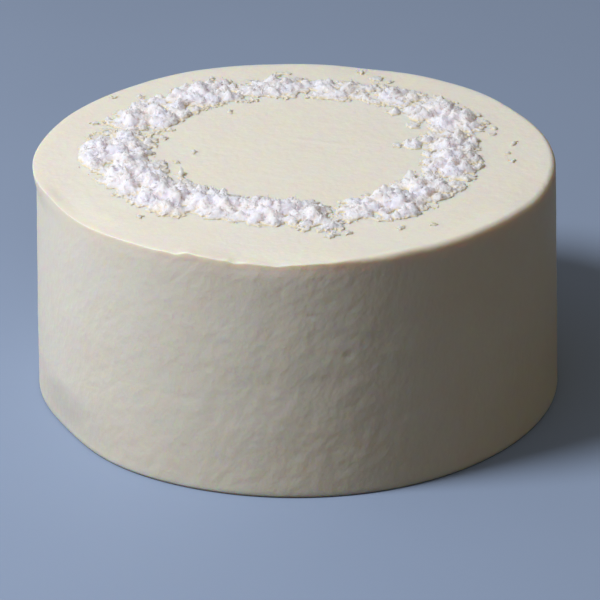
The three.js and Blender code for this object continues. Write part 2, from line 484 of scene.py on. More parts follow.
LUMPS = (
    # azimuth, half-width in degrees and rise of the unevenness of the top edge
    (238, 1.6, -0.2 * MM), (243.8, 1.0, -0.5 * MM), (246.8, 1.3, 0.8 * MM), (250, 1.5, 0.2 * MM),
    (255.4, 0.7, 0.4 * MM), (257.3, 1.2, -0.6 * MM), (260, 1.0, 0.2 * MM), (266, 1.5, -0.5 * MM),
    (277, 1.8, -0.3 * MM), (299, 2.5, -0.4 * MM), (202, 6, 0.7 * MM), (295, 6, 0.8 * MM),
)
LUMP_REACH = 5 * MM  # how far from the edge a lump fades out
TOP_RIDGE = ((-7 * MM, 21 * MM), (25 * MM, 10 * MM))
RIDGE_HEIGHT, RIDGE_WIDTH = 0.22 * MM, 0.9 * MM
TOP_REACH, WALL_REACH = 2 * MM, 3 * MM  # how far in from the surface marks of the top and pits of the wall go
TOP_PITS = (
    # places on the top where the spatula or a flake left a dent
    (77 * MM, -42 * MM), (85 * MM, -37 * MM), (80 * MM, -46 * MM), (96 * MM, -27 * MM), (68 * MM, -61 * MM),
    (-78 * MM, -36 * MM), (-30 * MM, 4 * MM), (38 * MM, -82 * MM),
)
WALL_PITS = (
    # azimuth and height of the small holes that air left in the wall
    (272.6, 75 * MM), (280.7, 58 * MM), (245.6, 38 * MM), (251, 52 * MM), (263, 47 * MM), (226, 60 * MM),
    (20, 62 * MM), (65, 40 * MM), (118, 70 * MM), (150, 33 * MM), (325, 55 * MM),
)
PIT_RADIUS, PIT_DEPTH = 0.8 * MM, 0.28 * MM
WAVE_SIZE, GRAIN_SIZE = 14 * MM, 4 * MM
GRAIN_LEAST = 0.5  # share of the grain near the top edge
GRAIN_FROM, GRAIN_TO = 8 * MM, 35 * MM  # drops between which it comes in fully
FLAT_CALM = 0.6  # share of the unevenness that is missing on the flat top
FOOT_CALM = 3 * MM  # height in which the unevenness comes in
BUMP_SIZE = 2.6 * MM
COAT_PATCH = 30 * MM  # size of the thicker and thinner places of the coat
STROKE_LEAN = 0.2  # how far round a spatula stroke runs for each unit that it climbs
STROKE_STRETCH = 0.8  # of the noise along a stroke, so that its bumps are long


def icing_material(settings):
    """Ivory icing that light sinks into, with a fine bump along the spatula's strokes."""
    material, tree, shader = new_material("ivory_icing")
    link = tree.links.new
    patches = add_drift(tree, COAT_PATCH, 0.5)
    link(blend_colours(tree, patches, settings.colour, settings.deep_and_shade_colour), shader.inputs["Base Color"])
    vary(tree, patches, shader.inputs["Roughness"], 0.44, 0.58)
    shader.inputs["Specular IOR Level"].default_value = 0.4
    shader.inputs["Subsurface Weight"].default_value = 1.0
    shader.inputs["Subsurface Radius"].default_value = (1.0, 0.62, 0.2)
    shader.inputs["Subsurface Scale"].default_value = 3.5 * MM
    place = tree.nodes.new("ShaderNodeTexCoord")
    split = tree.nodes.new("ShaderNodeSeparateXYZ")
    lean = add_node(tree, "ShaderNodeMath", operation="MULTIPLY")
    lean.inputs[1].default_value = -STROKE_LEAN / settings.rim_radius
    twist = tree.nodes.new("ShaderNodeVectorRotate")
    twist.rotation_type = "Z_AXIS"
    stretch = tree.nodes.new("ShaderNodeMapping")
    stretch.inputs["Scale"].default_value = (1, 1, STROKE_STRETCH)
    grain = add_node(tree, "ShaderNodeTexNoise", scale=1 / BUMP_SIZE, detail=1.5, roughness=0.5)
    bump = tree.nodes.new("ShaderNodeBump")
    bump.inputs["Strength"].default_value = 0.6
    bump.inputs["Distance"].default_value = 0.3 * MM
    link(place.outputs["Object"], split.inputs["Vector"])
    link(split.outputs["Z"], lean.inputs[0])
    link(place.outputs["Object"], twist.inputs["Vector"])
    link(lean.outputs[0], twist.inputs["Angle"])
    link(twist.outputs["Vector"], stretch.inputs["Vector"])
    link(stretch.outputs["Vector"], grain.inputs["Vector"])
    link(grain.outputs["Fac"], bump.inputs["Height"])
    link(bump.outputs["Normal"], shader.inputs["Normal"])
    return material


def round_cake(settings):
    """The plain round of icing, with rounded edges, rows up its wall and a grid over its top."""
    begin_piece()
    bpy.ops.mesh.primitive_cylinder_add(
        vertices=settings.sides,
        radius=settings.foot_radius,
        depth=settings.height,
        location=(0, 0, settings.height / 2),
    )
    piece = bpy.context.object
    piece.name = piece.data.name = "icing"
    bpy.ops.object.transform_apply(location=True)
    middle = settings.height / 2
    bpy.ops.object.mode_set(mode="EDIT")
    select_edges(piece, lambda a, b: a.z > middle and b.z > middle)
    bpy.ops.mesh.bevel(offset=settings.rim_round, segments=RIM_STEPS, affect="EDGES")
    select_edges(piece, lambda a, b: a.z < middle and b.z < middle)
    bpy.ops.mesh.bevel(offset=settings.foot_round, segments=FOOT_STEPS, affect="EDGES")
    select_edges(piece, lambda a, b: abs(a.z - b.z) > middle)
    bpy.ops.mesh.subdivide(number_cuts=settings.rows - 1)
    for _ in range(TOP_RINGS):
        select_faces(piece, lambda face: len(face.verts) > 4 and face.normal.z > 0)
        bpy.ops.mesh.inset(thickness=TOP_RING_WIDTH)
    select_faces(piece, lambda face: len(face.verts) > 4 and face.normal.z > 0)
    bpy.ops.mesh.delete(type="ONLY_FACE")
    bpy.ops.mesh.select_mode(type="EDGE")
    bpy.ops.mesh.select_non_manifold()
    bpy.ops.mesh.fill_grid(span=settings.sides // 4, use_interp_simple=True)
    bpy.ops.mesh.select_all(action="SELECT")
    bpy.ops.mesh.normals_make_consistent(inside=False)
    bpy.ops.object.mode_set(mode="OBJECT")
    return piece


def crowd_rows(height, settings):
    """Moves the rows of the wall up, so that they are closest where the knife worked."""
    low, high = settings.foot_round, settings.height - settings.rim_round
    share = np.clip((height - low) / (high - low), 0, 1)
    crowded = low + (high - low) * (1 - (1 - share) ** ROW_CROWDING)
    return np.where((height > low) & (height < high), crowded, height)


def softness(azimuth):
    """1 where the top edge is round, 0 where it is crisp."""
    return 1 - ramp(np.abs(turn(SOFT_AZIMUTH, azimuth)), SOFT_FROM, SOFT_TO)


def sharpness(azimuth):
    """1 where the corner of the top edge is sharpest."""
    return bell(turn(SHARP_AZIMUTH, azimuth), SHARP_HALF)


def sharpen_rim(points, settings):
    """Draws the round of the top edge out to a corner on its crisp sides."""
    x, y, z = points.T
    radius = np.hypot(x, y)
    azimuth = np.degrees(np.arctan2(y, x))
    start = np.array((settings.foot_radius, settings.height)) - settings.rim_round
    out, rise = (np.column_stack((radius, z)) - start).T / settings.rim_round
    corner = (out > 0) & (rise > 0)
    power = CRISPNESS + (SHARPNESS - CRISPNESS) * sharpness(azimuth)
    power = power + (1 - power) * softness(azimuth)
    out, rise = (np.where(corner, np.maximum(value, 0) ** power, value) for value in (out, rise))
    grown = (start[0] + out * settings.rim_round) / np.maximum(radius, MM)
    return np.column_stack((x * grown, y * grown, start[1] + rise * settings.rim_round))


def spread(points, settings):
    """Moves the points of the round cake to where the spatula left the icing."""
    radius = np.hypot(points[:, 0], points[:, 1])
    azimuth = np.degrees(np.arctan2(points[:, 1], points[:, 0]))
    height = points[:, 2]
    edge = settings.foot_radius
    height = crowd_rows(height, settings)
    near_wall = ramp(radius, edge - EDGE_BAND, edge - settings.rim_round)
    near_top = ramp(height, settings.height - LIP_DEPTH, settings.height)
    near_foot = 1 - ramp(height, 0, PARED_HEIGHT)
    taper = (settings.rim_radius - settings.foot_radius) * height / settings.height
    flare = LIP_FLARE * bell(turn(LIP_AZIMUTH, azimuth), LIP_HALF) * near_top
    pared = PARED_DEPTH * bell(turn(PARED_AZIMUTH, azimuth), PARED_HALF) * near_foot
    out = (taper + wall_sway(azimuth) + flare - pared) * near_wall
    lift = rim_rise(azimuth) * ramp(radius, edge - EDGE_BAND, edge) * near_top
    grown = 1 + out / np.maximum(radius, MM)
    return np.column_stack((points[:, 0] * grown, points[:, 1] * grown, height + lift))


def stroke_space(points, settings):
    """The points turned back along the spatula's strokes, which lean round the wall as they climb."""
    angle = -STROKE_LEAN * points[:, 2] / settings.rim_radius
    c, s = np.cos(angle), np.sin(angle)
    x, y, z = points.T
    return np.column_stack((c * x - s * y, s * x + c * y, STROKE_STRETCH * z))


def roughen(points, normals, settings):
    """Moves the points along their normals by the broad waves and the fine grain of the spatula."""
    strokes = stroke_space(points, settings)
    flatness = np.abs(normals[:, 2])
    off_floor = ramp(points[:, 2], 0, FOOT_CALM)
    strength = (1 - FLAT_CALM * flatness) * off_floor
    waves = settings.wave_height * perlin(strokes, WAVE_SIZE)
    low = GRAIN_LEAST + (1 - GRAIN_LEAST) * ramp(settings.height - points[:, 2], GRAIN_FROM, GRAIN_TO)
    grain = settings.grain_height * perlin(strokes, GRAIN_SIZE) * low
    return points + normals * ((waves + grain) * strength - pit_depth(points, settings))[:, None]


def trim_edge(points, settings):
    """Marks the top edge as the knife did: faint slanting swipes under it, a lean, lumps and a thin bead."""
    x, y, z = points.T
    radius = np.hypot(x, y)
    azimuth = np.degrees(np.arctan2(y, x)) % 360
    drop = settings.height - z
    round_rim = np.radians(azimuth) * settings.rim_radius
    c, s = math.cos(SWIPE_CLIMB), math.sin(SWIPE_CLIMB)
    across, along = c * drop + s * round_rim, c * round_rim - s * drop
    marks = perlin(np.column_stack((across / SWIPE_WIDTH, along / SWIPE_LENGTH, 0 * drop)), 1)
    swiped = ramp(azimuth, SWIPES_FROM, SWIPES_FROM + SWIPES_FADE)
    swiped = swiped * (1 - ramp(azimuth, SWIPES_TO - SWIPES_FADE, SWIPES_TO))
    under_edge = ramp(drop, EDGE_STRIP, STRIP_END)
    swipes = SWIPE_DEPTH * swiped * marks * under_edge * (1 - ramp(drop, SWIPE_DROP / 2, SWIPE_DROP))
    crisp = (1 - softness(azimuth)) * (1 - sharpness(azimuth))
    recess = RECESS_DEPTH * crisp * under_edge * (1 - ramp(drop, STRIP_END, RECESS_DROP))
    lean = LEAN_DEPTH * bell(turn(LEAN_AZIMUTH, azimuth), LEAN_HALF) * (1 - ramp(drop, 0, LEAN_DROP))
    edge = settings.rim_radius + wall_sway(azimuth)
    at_wall = ramp(radius, edge - WALL_DEEP, edge - WALL_SHALLOW)
    shrink = 1 - (swipes + recess + lean) * at_wall / np.maximum(radius, MM)
    lumps = sum(rise * bell(turn(middle, azimuth), half) for middle, half, rise in LUMPS)
    at_edge = ramp(radius, edge - LUMP_REACH, edge) * (1 - ramp(drop, 0, LUMP_REACH))
    ragged = BEAD_MEAN + BEAD_SWING * perlin(points, BEAD_GRAIN)
    beaded = BEAD_LEAST + (1 - BEAD_LEAST) * bell(turn(BEAD_AZIMUTH, azimuth), BEAD_HALF)
    bead = settings.bead_height * ragged * beaded * bell(radius - edge + BEAD_INSET, BEAD_WIDTH) * at_edge
    return np.column_stack((x * shrink, y * shrink, z + lumps * at_edge + bead * crisp))


def mark_top(points, settings):
    """Draws the faint ridge and the dents of the top."""
    flat = points[:, :2]
    start, end = (np.array(place) for place in TOP_RIDGE)
    along = np.clip((flat - start) @ (end - start) / np.sum((end - start) ** 2), 0, 1)
    aside = np.linalg.norm(flat - start - along[:, None] * (end - start), axis=1)
    lift = RIDGE_HEIGHT * bell(aside, RIDGE_WIDTH) * np.sin(math.pi * along)
    for place in TOP_PITS:
        lift = lift - PIT_DEPTH * bell(np.linalg.norm(flat - place, axis=1), PIT_RADIUS)
    upper = points[:, 2] > settings.height - TOP_REACH
    return points + np.column_stack((np.zeros_like(flat), lift * upper))


def pit_depth(points, settings):
    """How far the small holes of the wall go in."""
    x, y, z = points.T
    round_wall = np.degrees(np.arctan2(y, x))
    depth = np.zeros_like(z)
    for azimuth, height in WALL_PITS:
        aside = np.radians(turn(azimuth, round_wall)) * settings.rim_radius
        depth = depth + PIT_DEPTH * bell(np.hypot(aside, z - height), PIT_RADIUS)
    return depth * (np.hypot(x, y) > settings.rim_radius - WALL_REACH)


def vertex_normals(mesh):
    """The normals at the points of a mesh, one row each."""
    normals = np.empty(len(mesh.vertices) * 3)
    mesh.vertex_normals.foreach_get("vector", normals)
    return normals.reshape(-1, 3)


class CAKE_OT_spread_icing(bpy.types.Operator):
    """Models the icing: a rounded cylinder, then the marks that the spatula left on it"""

    bl_idname = "cake.spread_icing"
    bl_label = "Spread Icing"

    def execute(self, context):
        settings = context.scene.cake_icing
        piece = round_cake(settings)
        mesh = piece.data
        write_points(mesh, sharpen_rim(read_points(mesh), settings))
        write_points(mesh, spread(read_points(mesh), settings))
        write_points(mesh, trim_edge(read_points(mesh), settings))
        write_points(mesh, mark_top(read_points(mesh), settings))
        write_points(mesh, roughen(read_points(mesh), vertex_normals(mesh), settings))
        bpy.ops.object.shade_smooth()
        mesh.materials.append(icing_material(settings))
        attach(piece, BODY)
        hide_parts(CAKE_NODE)
        return {"FINISHED"}


# Coconut


class BitKind(NamedTuple):
    """A kind of coconut bit: its least and greatest sizes, its tilt in degrees, and how high it lies."""

    name: str
    length: tuple
    width: tuple
    thick: tuple
    tilt: float
    loft: float


FLAKE = BitKind(
    name="coconut_heap",
    length=(1.0 * MM, 2.4 * MM),
    width=(0.5 * MM, 0.8 * MM),
    thick=(0.4 * MM, 0.6 * MM),
    tilt=30,
    loft=0.35 * MM,
)
CHIP = BitKind(
    name="coconut_chips",
    length=(1.0 * MM, 2.2 * MM),
    width=(0.7 * MM, 1.2 * MM),
    thick=(0.22 * MM, 0.38 * MM),
    tilt=10,
    loft=0.05 * MM,
)
SHRED = BitKind(
    name="coconut_shreds",
    length=(1.2 * MM, 2.8 * MM),
    width=(0.4 * MM, 0.65 * MM),
    thick=(0.28 * MM, 0.42 * MM),
    tilt=10,
    loft=0.05 * MM,
)
CHIP_CORNERS = 5
CHIP_SHIFT = 0.3  # how far a corner strays round the chip, in steps between corners
CHIP_REACH = (0.72, 1.08)  # of its corners, in half-sizes
CHIP_CURL = (-0.3, 0.5)  # rise of its ends, in widths
CHIP_EDGE = 0.5  # thickness of its edge, as a share of its middle's
SHRED_STATIONS = 3
SHRED_TAPER = 0.45  # share of its width missing at an end
SHRED_BEND = 0.2  # how far its ends bend at most, in lengths
SHRED_WEAR = (0.8, 1.15)  # of its corners, in half-widths
STEEPEST = 45  # tilt of a bit at most, in degrees
LOFT_GROUND = 1.0 * MM  # depth of the heap where bits lie as loosely as they can
SEAT = 0.3  # how high the middle of a bit lies over the ground, in thicknesses
BIT_TONE = (0.6, 1.0)
RING_REACH = 97 * MM  # no bit falls further from the middle
BED_INNER, BED_OUTER = 34 * MM, 95 * MM
BED_SIDES, BED_ROWS = 480, 80
PATCH_SIZE, PATCH_SHARE = 7 * MM, 0.9  # of the thin and thick places along the ring
TEAR_SIZE, TEAR_SHARE = 2.6 * MM, 0.7  # of its small gaps
BITE_SIZE, BITE_SHARE = 5 * MM, 0.8  # of the bites out of its edges
HEAP_SPREAD = 1.18  # how far bits roll from the middle line of the ring, in half-widths of its clumps
FULLNESS = 0.95  # mean share of its depth that the ring keeps
THIN_PLACES = (
    # azimuth, half-width in degrees and share of the depth that is missing
    (50, 45, 0.1), (166, 4, 0.1), (287, 3, 0.15), (318, 3, 0.25), (338, 14, 0.1),
)
BED_RISE = 2.6 * MM  # where the heap is deepest
TUFT_RADIUS = (1.5 * MM, 3.8 * MM)
TUFT_RISE = (0.6 * MM, 1.8 * MM)  # over the bed
TUFT_CROWDING, TUFT_GROWTH = 0.5, 0.35  # powers of the ring's depth that give their number and their height
BED_SINK = 0.8 * MM  # how far the bed's edge lies under the icing, so that only flakes show there
BED_DIP = 1.0 * MM  # how much deeper it lies beside the ring
BED_FLOOR = 6.0 * MM  # how far its flat underside lies under the icing
FUSE_SIZE = 0.3 * MM  # grain of the fused heap
FUSE_PASSES = 1  # that smooth it
HEAP_TRIANGLES = 190000  # that it is thinned to
HOLLOW_SHADE_END = 0.8 * MM  # how high a flake stands over the bed where the painted shade of the hollows ends
HOLLOW_SHADE_TONE = 0.7  # tone of the painted shade in the hollows between flakes
WARM_SHADE_SKIRT = 0.75 * MM  # how high over the icing the heap is painted in a warm shade, standing in for the shade and the light that the icing gives back there
SPURS = (
    # small heaps that show beside the ring
    Clump(8, 47 * MM, 3.6 * MM, 3.6 * MM, 3.6 * MM),
    Clump(9, 41 * MM, 2.4 * MM, 2.2 * MM, 2.4 * MM),
    Clump(30, 55 * MM, 3.4 * MM, 3.4 * MM, 2.2 * MM),
    Clump(46, 58 * MM, 3.4 * MM, 3.2 * MM, 2.2 * MM),
    Clump(67, 86 * MM, 2.8 * MM, 3.0 * MM, 1.8 * MM),
    Clump(93, 85 * MM, 3.4 * MM, 2.8 * MM, 2.2 * MM),
    Clump(281, 79 * MM, 3.2 * MM, 3.0 * MM, 2.2 * MM),
)
FRINGE = (0.02, 0.25)  # shares of the full depth between which flakes get fewer
STRAYS = (
    # azimuth and distance from the middle of the bits that lie alone
    (5, 87 * MM), (353, 86 * MM), (358, 84 * MM), (12, 81 * MM), (16, 83 * MM), (141, 96 * MM),
    (177, 40 * MM), (190, 47 * MM), (226, 85 * MM), (163, 54 * MM), (153, 55 * MM), (158, 87 * MM),
    (72, 91 * MM), (62, 85 * MM), (113, 87 * MM), (136, 88 * MM), (279, 83 * MM), (284, 81 * MM),
    (298, 84 * MM), (306, 88 * MM), (331, 51 * MM), (205, 49 * MM), (121, 51 * MM), (237, 50 * MM),
)
STRAY_BITS, STRAY_SPREAD = 10, 0.8 * MM  # bits at each of those places, and how far apart they lie
STRAY_RADIUS = (1.6 * MM, 2.4 * MM)  # of the small mounds under them
STRAY_RISE = (0.1 * MM, 0.6 * MM)  # of those mounds over the icing
RAY_START = 20 * MM  # how far over the icing the heap's height is felt for
DRIFT_PATCH, GLOSS_PATCH, FIBRE_SIZE = 7 * MM, 2 * MM, 0.5 * MM  # of the colour, the roughness and the bump


class Bits(NamedTuple):
    """How bits lie: their sizes, middles, axes and tones, one row each."""

    length: np.ndarray
    width: np.ndarray
    thick: np.ndarray
    middle: np.ndarray
    axes: np.ndarray
    tone: np.ndarray


class Heap:
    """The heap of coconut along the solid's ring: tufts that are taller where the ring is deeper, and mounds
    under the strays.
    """

    def __init__(self, rng, count, alone):
        ring = fall_places(rng, count, lambda x, y: ring_share(x, y) ** TUFT_CROWDING)
        tuft_radius = rng.uniform(*TUFT_RADIUS, count)
        tuft_rise = ring_share(*ring.T) ** TUFT_GROWTH * rng.uniform(*TUFT_RISE, count)
        stray_radius = rng.uniform(*STRAY_RADIUS, len(alone))
        stray_rise = rng.uniform(*STRAY_RISE, len(alone)) + BED_SINK + BED_DIP
        self.places = np.vstack((ring, alone))
        self.radius = np.concatenate((tuft_radius, stray_radius))
        self.rise = np.concatenate((tuft_rise, stray_rise))

    def bed(self, x, y):
        """How high it stands over the icing, or how deep its edge lies under it."""
        tufts = np.zeros_like(x)
        for (across, ahead), radius, rise in zip(self.places, self.radius, self.rise):
            tufts = np.maximum(tufts, rise * dome(np.hypot(x - across, y - ahead), radius))
        share = ring_share(x, y)
        return BED_RISE * share + tufts - BED_SINK - BED_DIP * (share == 0)

    def ground(self, x, y):
        """The smooth bed where it shows, and the icing beside it."""
        return np.maximum(self.bed(x, y), 0)


def on_top(azimuth, distance):
    """Points of the top from their azimuths and their distances from the ring's middle."""
    azimuth = np.radians(azimuth)
    return RING_MIDDLE + np.column_stack((distance * np.cos(azimuth), distance * np.sin(azimuth)))


def ring_share(x, y):
    """How deep the ring lies at points of the top, from 0 to 1, with its thin places."""
    from_middle_x, from_middle_y = x - RING_MIDDLE[0], y - RING_MIDDLE[1]
    azimuth = np.degrees(np.arctan2(from_middle_y, from_middle_x))
    radius = np.hypot(from_middle_y, from_middle_x)
    depth = np.zeros_like(radius)
    for clump in CLUMPS + SPURS:
        arc = np.radians(turn(clump.azimuth, azimuth)) * clump.radius
        along = dome(arc, clump.along * CLUMP_RUNOUT)
        across = dome(radius - clump.radius, clump.across * HEAP_SPREAD)
        depth = np.maximum(depth, clump.depth / DEEPEST * along * across)
    for middle, half, missing in THIN_PLACES:
        depth = depth * (1 - missing * bell(turn(middle, azimuth), half))
    places = np.column_stack((x, y, 0 * x))
    uneven = PATCH_SHARE * perlin(places, PATCH_SIZE) + TEAR_SHARE * perlin(places, TEAR_SIZE)
    bites = BITE_SHARE * np.maximum(perlin(places, BITE_SIZE), 0)
    return np.maximum(depth * (FULLNESS + uneven) - bites, 0)


def cover(x, y):
    """The chance that a bit lies at a point of the top."""
    return ramp(ring_share(x, y), *FRINGE)


def packed_bed(heap, top):
    """The core of the ring: a flat band between two circles, closed below and raised in tufts above."""
    begin_piece()
    bpy.ops.mesh.primitive_circle_add(vertices=BED_SIDES, radius=BED_INNER, location=(0, 0, top))
    piece = bpy.context.object
    bpy.ops.object.transform_apply(location=True)
    bpy.ops.object.mode_set(mode="EDIT")
    bpy.ops.mesh.primitive_circle_add(vertices=BED_SIDES, radius=BED_OUTER, location=(0, 0, top))
    bpy.ops.mesh.select_all(action="SELECT")
    bpy.ops.mesh.bridge_edge_loops(number_cuts=BED_ROWS - 1, interpolation="LINEAR")
    bpy.ops.mesh.select_all(action="DESELECT")
    bpy.ops.mesh.select_non_manifold()
    bpy.ops.mesh.extrude_edges_move(TRANSFORM_OT_translate={"value": (0, 0, -BED_FLOOR)})
    bpy.ops.mesh.bridge_edge_loops()
    bpy.ops.mesh.select_all(action="SELECT")
    bpy.ops.mesh.normals_make_consistent(inside=False)
    bpy.ops.object.mode_set(mode="OBJECT")
    points = read_points(piece.data)
    above = points[:, 2] > top - BED_FLOOR / 2
    points[above, 2] = top + heap.bed(*points[above, :2].T)
    write_points(piece.data, points)
    return piece


def fused_heap(bed, flakes, heap, top):
    """Runs the bed and its flakes together into one closed skin, painted in a warm shade next to the icing
    and in its hollows, and plain where it stands up.
    """
    bpy.ops.object.select_all(action="DESELECT")
    bed.select_set(True)
    flakes.select_set(True)
    bpy.context.view_layer.objects.active = flakes
    bpy.ops.object.join()
    fuse = flakes.modifiers.new("Fuse", "REMESH")
    fuse.mode = "VOXEL"
    fuse.voxel_size = FUSE_SIZE
    fuse.use_smooth_shade = True
    bpy.ops.object.modifier_apply(modifier=fuse.name)
    soften = flakes.modifiers.new("Soften", "SMOOTH")
    soften.iterations = FUSE_PASSES
    bpy.ops.object.modifier_apply(modifier=soften.name)
    flakes.data.calc_loop_triangles()
    thin = flakes.modifiers.new("Thin", "DECIMATE")
    thin.ratio = min(1, HEAP_TRIANGLES / len(flakes.data.loop_triangles))
    bpy.ops.object.modifier_apply(modifier=thin.name)
    x, y, z = read_points(flakes.data).T
    # painted shade: the tone falls towards the warm deep colour in the hollows between flakes and low down
    # next to the icing
    relief = ramp(z - top - heap.ground(x, y), 0, HOLLOW_SHADE_END)
    keep_tone_and_shade(flakes.data, ramp(z - top, 0, WARM_SHADE_SKIRT) * (HOLLOW_SHADE_TONE + (1 - HOLLOW_SHADE_TONE) * relief))


def keep_tone_and_shade(mesh, tone):
    """Keeps a tone for each point, from 0 where the colour is deep to 1 where it is plain: on the fused heap
    the deep end is a painted shade, on the loose bits the tone differs at random.
    """
    mesh.attributes.new("tone", "FLOAT", "POINT").data.foreach_set("value", tone)


def fall_places(rng, count, chance):
    """Places on the top, drawn by the chance that something lies there."""
    places = np.empty((0, 2))
    while len(places) < count:
        tries = rng.uniform(-RING_REACH, RING_REACH, (2 * count, 2))
        places = np.vstack((places, tries[rng.random(len(tries)) < chance(*tries.T)]))
    return places[:count]


def unit(rows):
    """The rows scaled to a length of 1."""
    return rows / np.linalg.norm(rows, axis=1, keepdims=True)


def skin_height(piece, top):
    """A function that gives how high a piece stands over the icing at points of the top."""
    tree = BVHTree.FromObject(piece, bpy.context.evaluated_depsgraph_get())
    above, down = top + RAY_START, Vector((0, 0, -1))

    def height_at(x, y):
        places = zip(x.tolist(), y.tolist())
        hits = [tree.ray_cast((across, ahead, above), down)[0] for across, ahead in places]
        return np.array([max(hit.z - top, 0) if hit else 0 for hit in hits])

    return height_at


def lay_bits(rng, kind, places, heap, height_at, top):
    """Bits of a kind that lie along the slope of the heap, but for a small tilt of their own."""
    count = len(places)
    length, width, thick = (rng.uniform(*span, count) for span in (kind.length, kind.width, kind.thick))
    heading = rng.uniform(0, 2 * math.pi, count)
    tilt = np.tan(np.radians(rng.normal(0, kind.tilt, (2, count)).clip(-STEEPEST, STEEPEST)))
    x, y = places.T
    c, s = np.cos(heading), np.sin(heading)
    along, across = length / 2, width / 2
    ahead = heap.ground(x + c * along, y + s * along) - heap.ground(x - c * along, y - s * along)
    aside = heap.ground(x - s * across, y + c * across) - heap.ground(x + s * across, y - c * across)
    first = unit(np.column_stack((c, s, ahead / length + tilt[0])))
    third = unit(np.cross(first, np.column_stack((-s, c, aside / width + tilt[1]))))
    axes = np.stack((first, np.cross(third, first), third), 1)
    ground = height_at(x, y)
    loose = rng.exponential(1, count) * kind.loft * ramp(ground, 0, LOFT_GROUND)
    middle = np.column_stack((x, y, top + ground + SEAT * thick + loose))
    tone = rng.uniform(*BIT_TONE, count)
    return Bits(length, width, thick, middle, axes, tone)


def chip_shapes(rng, bits):
    """Ragged curled plates: a ring of corners above and below, each with a middle point."""
    count, corners = len(bits.length), CHIP_CORNERS
    shift = rng.uniform(-CHIP_SHIFT, CHIP_SHIFT, (count, corners))
    angle = (np.arange(corners) + shift) * 2 * math.pi / corners
    reach = rng.uniform(*CHIP_REACH, (count, corners))
    x = np.cos(angle) * reach / 2
    y = np.sin(angle) * reach / 2
    curl = rng.uniform(*CHIP_CURL, (count, 1)) * bits.width[:, None]
    bow = curl * (2 * x) ** 2
    edge = CHIP_EDGE * bits.thick[:, None] / 2
    long, wide = x * bits.length[:, None], y * bits.width[:, None]
    rim = [np.stack((long, wide, bow + side * edge), 2) for side in (1, -1)]
    flat = np.zeros(count)
    caps = [np.column_stack((flat, flat, side * bits.thick / 2))[:, None] for side in (1, -1)]
    shapes = np.concatenate((*rim, *caps), 1)
    above, below = 2 * corners, 2 * corners + 1
    faces = []
    for k in range(corners):
        after = (k + 1) % corners
        faces.append((above, k, after))
        faces.append((below, corners + after, corners + k))
        faces.append((k, corners + k, corners + after, after))
    return shapes, faces


def shred_shapes(rng, bits):
    """Bent strips of four sides, narrower towards their ends."""
    count, stations = len(bits.length), SHRED_STATIONS
    share = np.linspace(-1, 1, stations)
    taper = 1 - SHRED_TAPER * share**2
    bend = rng.uniform(-SHRED_BEND, SHRED_BEND, (count, 2)) * bits.length[:, None]
    rings = []
    for k in range(stations):
        corner = np.array(((1, 1), (-1, 1), (-1, -1), (1, -1))) / 2 * taper[k]
        corner = corner * rng.uniform(*SHRED_WEAR, (count, 4, 2))
        x = np.broadcast_to((share[k] * bits.length / 2)[:, None], (count, 4))
        y = corner[:, :, 0] * bits.width[:, None] + (bend[:, :1] * share[k] ** 2)
        z = corner[:, :, 1] * bits.thick[:, None] + (bend[:, 1:] * share[k] ** 2)
        rings.append(np.stack((x, y, z), 2))
    faces = [(0, 1, 2, 3), tuple(4 * (stations - 1) + k for k in (3, 2, 1, 0))]
    for k in range(stations - 1):
        for side in range(4):
            after = (side + 1) % 4
            faces.append((4 * k + side, 4 * k + 4 + side, 4 * k + 4 + after, 4 * k + after))
    return np.concatenate(rings, 1), faces


SHAPES = {FLAKE: shred_shapes, CHIP: chip_shapes, SHRED: shred_shapes}


def joined_bits(rng, kind, bits):
    """One piece of all the bits of a kind, each with its own tone from 0 to 1."""
    shapes, faces = SHAPES[kind](rng, bits)
    points = np.einsum("nka,nab->nkb", shapes, bits.axes) + bits.middle[:, None]
    count, corners, _ = shapes.shape
    every_face = [[corner + corners * k for corner in face] for k in range(count) for face in faces]
    mesh = bpy.data.meshes.new(kind.name)
    mesh.from_pydata(points.reshape(-1, 3).tolist(), [], every_face)
    keep_tone_and_shade(mesh, np.repeat(bits.tone, corners))
    mesh.shade_smooth()
    piece = bpy.data.objects.new(kind.name, mesh)
    bpy.context.collection.objects.link(piece)
    return piece


